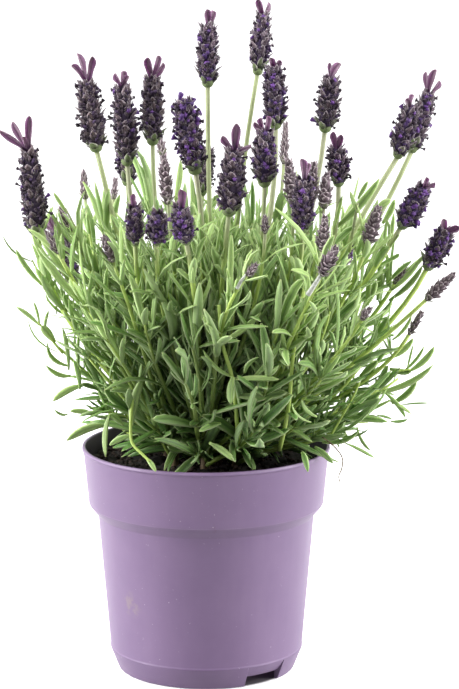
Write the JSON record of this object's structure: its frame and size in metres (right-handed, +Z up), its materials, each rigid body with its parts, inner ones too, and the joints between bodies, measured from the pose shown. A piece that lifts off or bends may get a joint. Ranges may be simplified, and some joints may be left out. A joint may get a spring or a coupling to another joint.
{
  "type": "potted lavender",
  "caption": "Flowering lavender with rabbit-ear bracts, growing in a lilac plastic nursery pot filled with peat.",
  "frame": {"origin": "middle of the whole plant's box in plan, on the surface that the pot stands on", "axes": "+Z up the plant; the pictured front faces -Y; +X to the right in the picture"},
  "size_m": [0.2352, 0.2042, 0.3538],
  "materials": {
    "pot": "matt lilac moulded plastic",
    "soil": "dark damp peat",
    "leaves": "green to grey-green, finely felted",
    "heads": "dark brown-violet felted scales",
    "bracts": "thin veined pink-violet petals"
  },
  "bodies": {
    "root": {"pot": "pot", "soil": "soil", "spray_01": "leaves", "spray_02": "leaves", "spray_03": "leaves", "spray_04": "leaves", "spray_05": "leaves", "spray_06": "leaves", "spray_07": "leaves", "spray_08": "leaves", "spray_09": "leaves", "spray_10": "leaves", "spray_11": "leaves", "head_01": "heads", "bracts_01": "bracts", "head_02": "heads", "bracts_02": "bracts", "head_03": "heads", "bracts_03": "bracts", "head_04": "heads", "bracts_04": "bracts", "head_05": "heads", "bracts_05": "bracts", "head_06": "heads", "head_07": "heads", "head_08": "heads", "bracts_08": "bracts", "head_09": "heads", "bracts_09": "bracts", "head_10": "heads", "bracts_10": "bracts", "head_11": "heads", "bracts_11": "bracts", "head_12": "heads", "bracts_12": "bracts", "head_13": "heads", "bracts_13": "bracts", "head_14": "heads", "bracts_14": "bracts", "head_15": "heads", "bracts_15": "bracts", "head_16": "heads", "bracts_16": "bracts", "head_17": "heads", "bracts_17": "bracts", "head_18": "heads", "bracts_18": "bracts", "head_19": "heads", "bracts_19": "bracts", "head_20": "heads", "bracts_20": "bracts", "head_21": "heads", "head_22": "heads", "bracts_22": "bracts", "head_23": "heads", "bracts_23": "bracts", "head_24": "heads", "bracts_24": "bracts", "head_25": "heads", "bracts_25": "bracts"}
  },
  "joints": []
}
